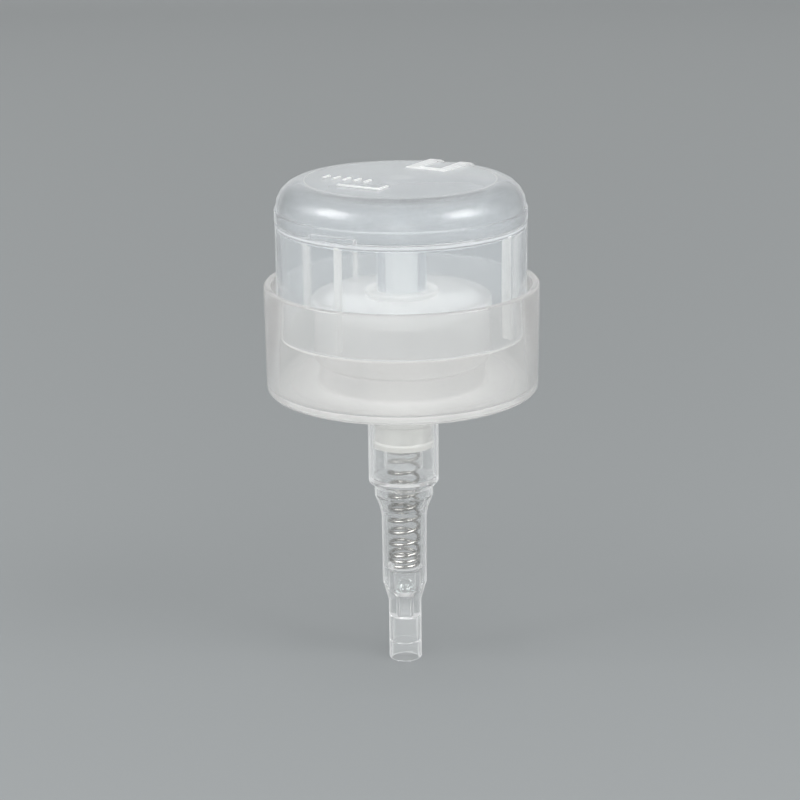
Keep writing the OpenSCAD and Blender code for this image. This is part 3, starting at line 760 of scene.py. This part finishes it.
def buildSpring():
    v = springValues
    coil = springHigh.x - v["wire"]
    foot = springLow.z + v["wire"]
    top = springHigh.z - v["wire"]
    openTurns = (top - foot - v["footTurns"] * v["footRise"] - v["topRise"]) / v["pitch"]
    turns = v["footTurns"] + openTurns + 1
    count = int(turns * v["steps"])
    bm = bmesh.new()
    rings = []
    for i in range(count + 1):
        t = turns * i / count
        if t < v["footTurns"]:
            rise = v["footRise"] * t
        elif t > turns - 1:
            rise = top - foot - v["topRise"] * (turns - t)
        else:
            rise = v["footTurns"] * v["footRise"] + v["pitch"] * (t - v["footTurns"])
        angle = math.radians(360 * t + v["phase"])
        ring = []
        for s in range(v["sides"]):
            w = 2 * math.pi * s / v["sides"]
            r = coil + v["wire"] * math.cos(w)
            z = foot + rise + v["wire"] * math.sin(w)
            ring.append(bm.verts.new((r * mm * math.cos(angle), r * mm * math.sin(angle), z * mm)))
        rings.append(ring)
    spring = toObject(closeRun(bm, rings), "springCoil")
    finishPiece(spring, springSteel, "pump_body", "return_spring")
    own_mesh(spring)
    return spring


buildLid()
buildHead()
print("stage: lid and head built")
buildCap()
buildPlug()
buildHousing()
print("stage: cap, plug and housing built")
buildRod()
buildPiston()
buildStem()
buildGasket()
buildSpring()
for ball in ("inlet_ball", "outlet_ball"):
    node = frame["nodes"][ball]
    node.data.materials.clear()
    node.data.materials.append(ballGlass)
    node.data.shade_smooth()
print("stage: pump pieces built")


# camera: 100 mm lens, looking down a little at the side of the lid's lift lip
cameraValues = {
    "azimuth": 31.0, "pitch": 16.81, "distance": 360.1, "aimZ": -14.0, "aimAside": -0.47, "roll": 0.66,
    "lens": 100.0,
}


# a direction from the pump, by its turn to the right of the camera's side and its height angle
def towards(turn, height):
    a = math.radians(cameraValues["azimuth"] + turn)
    h = math.radians(height)
    return Vector((math.sin(a) * math.cos(h), -math.cos(a) * math.cos(h), math.sin(h)))


def lookAt(item, target, roll=0.0):
    away = (item.location - target).normalized()
    facing = away.to_track_quat("Z", "Y").to_matrix() @ Matrix.Rotation(roll, 3, "Z")
    item.rotation_euler = facing.to_euler()


def addCamera():
    v = cameraValues
    data = bpy.data.cameras.new("camera")
    data.lens = v["lens"]
    data.sensor_width = 36.0
    data.clip_start = 0.01
    data.clip_end = 20
    camera = bpy.data.objects.new("camera", data)
    scene.collection.objects.link(camera)
    rightward = towards(90, 0)
    aim = Vector((0, 0, v["aimZ"] * mm)) + rightward * v["aimAside"] * mm
    camera.location = aim + towards(0, v["pitch"]) * v["distance"] * mm
    lookAt(camera, aim, math.radians(-v["roll"]))
    scene.camera = camera


# seamless grey paper: flat under the pump, then a wide sweep up behind it
def addSweep():
    values = {
        # the far colour is painted light: paper far from the pump is coloured lighter where the lamps' light
        # falls off
        "nearColour": "#76797a", "midColour": "#787b7c", "farPaintedLightColour": "#b4b7b8",
        "near": 0.9, "far": 0.9, "radius": 0.5, "height": 1.6, "half": 1.6,     # in metres
        "fibreWidth": 1.11,     # in mm
    }
    floorZ = housingLow.z * mm
    section = [(-values["near"], 0.0), (0.0, 0.0)]
    for step in range(17):
        a = math.pi / 2 * step / 16
        curveY = values["far"] + values["radius"] * math.sin(a)
        section.append((curveY, values["radius"] * (1 - math.cos(a))))
    section.append((values["far"] + values["radius"], values["height"]))
    back = -towards(0, 0)
    side = towards(90, 0)
    bm = bmesh.new()
    rows = []
    for y, z in section:
        middle = back * y + Vector((0, 0, floorZ + z))
        rows.append([bm.verts.new(middle + side * x) for x in (-values["half"], values["half"])])
    for here, after in zip(rows, rows[1:]):
        bm.faces.new([here[0], here[1], after[1], after[0]])
    sweep = toObject(bm, "paperSweep")
    sweep.data.shade_smooth()
    material = bpy.data.materials.new("greyPaper")
    material.use_nodes = True
    material.node_tree.nodes.clear()
    place = addNode(material, "ShaderNodeTexCoord")
    depth = addNode(material, "ShaderNodeVectorMath", {
        0: place.outputs["Object"], 1: back}, operation="DOT_PRODUCT")
    nearShare = addNode(material, "ShaderNodeMapRange", {
        "Value": depth.outputs["Value"], "From Min": -0.1, "From Max": 0.1}, interpolation_type="SMOOTHSTEP")
    spread = addNode(material, "ShaderNodeVectorMath", {0: place.outputs["Object"]}, operation="LENGTH")
    # painted light: the paper's colour turns lighter with distance from the pump, in place of lamp light
    # that does not reach that far
    paintedLightShare = addNode(material, "ShaderNodeMapRange", {
        "Value": spread.outputs["Value"], "From Min": 0.0, "From Max": 1.1}, interpolation_type="SMOOTHSTEP")
    nearMix = addNode(material, "ShaderNodeMix", {
        0: nearShare.outputs["Result"], 6: toLinear(values["nearColour"]),
        7: toLinear(values["midColour"])}, data_type="RGBA")
    paintedLightMix = addNode(material, "ShaderNodeMix", {
        0: paintedLightShare.outputs["Result"], 6: nearMix.outputs[2],
        7: toLinear(values["farPaintedLightColour"])}, data_type="RGBA")
    fibre = addNode(material, "ShaderNodeTexNoise", {
        "Vector": place.outputs["Object"], "Scale": 1 / (values["fibreWidth"] * mm), "Detail": 2.0})
    relief = addNode(material, "ShaderNodeBump", {
        "Height": fibre.outputs["Fac"], "Strength": 0.04, "Distance": 0.2 * mm})
    paper = addNode(material, "ShaderNodeBsdfPrincipled", {
        "Base Color": paintedLightMix.outputs[2], "Roughness": 0.8, "Specular IOR Level": 0.25,
        "Normal": relief.outputs["Normal"]})
    addNode(material, "ShaderNodeOutputMaterial", {"Surface": paper.outputs["BSDF"]})
    sweep.data.materials.append(material)


pumpPieces = ("housingShell", "springRod", "springCoil")
# softboxes: turn from the camera, height angle, distance, width and height in metres, watts,
# seen in gloss, seen through plastic, and the pieces it is flagged to, if not all
lampValues = {
    "leftSoftbox": (-76, 39, 0.8, 0.42, 0.32, 2.4, True, True, ()),
    "rightSoftbox": (66, 39, 0.8, 0.38, 0.32, 2.2, True, True, ()),
    "leftGlint": (-46, 36, 0.8, 0.6, 0.5, 6.8, False, True, pumpPieces),
    "rightGlint": (38, 36, 0.8, 0.5, 0.5, 6.2, False, True, pumpPieces),
    "leftFill": (-42, 38, 0.8, 0.8, 0.6, 5.8, False, False, ()),
    "rightFill": (38, 38, 0.8, 0.8, 0.6, 5.6, False, False, ()),
    "topSoftbox": (0, 84, 0.9, 0.4, 0.4, 2.2, False, False, ()),
}


def addLamps():
    for name, values in lampValues.items():
        turn, height, distance, width, tall, watts, inGloss, throughPlastic, onlyOn = values
        data = bpy.data.lights.new(name, "AREA")
        data.shape = "RECTANGLE"
        data.size = width
        data.size_y = tall
        data.energy = watts
        lamp = bpy.data.objects.new(name, data)
        scene.collection.objects.link(lamp)
        lamp.location = towards(turn, height) * distance
        lamp.visible_glossy = inGloss
        lamp.visible_transmission = throughPlastic
        if onlyOn:
            flagged = bpy.data.collections.new(name + ".only")
            for pieceName in onlyOn:
                flagged.objects.link(bpy.data.objects[pieceName])
            lamp.light_linking.receiver_collection = flagged
        lookAt(lamp, Vector((0, 0, 0)))
    world = bpy.data.worlds.new("studio")
    scene.world = world
    world.use_nodes = True
    around = world.node_tree.nodes["Background"]
    around.inputs["Color"].default_value = toLinear("#f0f1f1")
    ray = addNode(world, "ShaderNodeLightPath")
    # gloss mirrors a darker room
    strength = addNode(world, "ShaderNodeMapRange", {
        "Value": ray.outputs["Is Glossy Ray"], "To Min": 0.44, "To Max": 0.16})
    world.node_tree.links.new(strength.outputs["Result"], around.inputs["Strength"])


addCamera()
addSweep()
addLamps()
scene.view_settings.view_transform = "Standard"
scene.cycles.max_bounces = 28
scene.cycles.transmission_bounces = 26
scene.cycles.transparent_max_bounces = 48
scene.cycles.diffuse_bounces = 4
scene.cycles.glossy_bounces = 8
scene.cycles.caustics_reflective = False
scene.cycles.caustics_refractive = False
scene.cycles.use_denoising = True
print("stage: camera, sweep and lamps placed")
